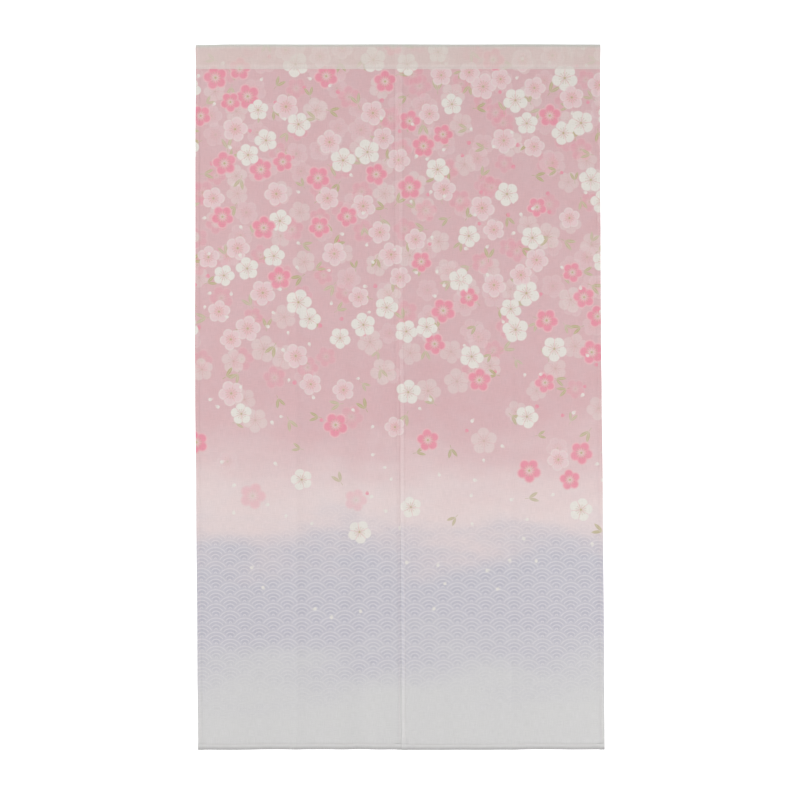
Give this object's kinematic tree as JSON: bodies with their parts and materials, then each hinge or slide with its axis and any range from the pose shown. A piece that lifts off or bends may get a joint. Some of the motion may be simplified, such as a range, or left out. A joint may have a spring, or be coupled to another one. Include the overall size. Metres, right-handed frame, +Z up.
{
  "type": "noren curtain",
  "caption": "Flat split doorway curtain of thin cloth, hung from a rod pocket along its top, two panels sewn at the centre above a long slit.",
  "frame": {"origin": "middle of the top edge, over the rod pocket", "axes": "+Z up along the drop, +Y out of the printed face, -Y out of the back where the hems are turned, +X to the right of someone who looks at the back"},
  "size_m": [0.8715, 0.0182, 1.5],
  "materials": {
    "heading_cloth": "matt plain weave, pale blush, the print faint through it",
    "panel_cloth": "matt plain weave with fine slubs, dusty pink fading to pale grey, printed with blossoms and waves"
  },
  "bodies": {
    "root": {"heading": "heading_cloth", "left_panel": "panel_cloth", "right_panel": "panel_cloth"}
  },
  "joints": []
}
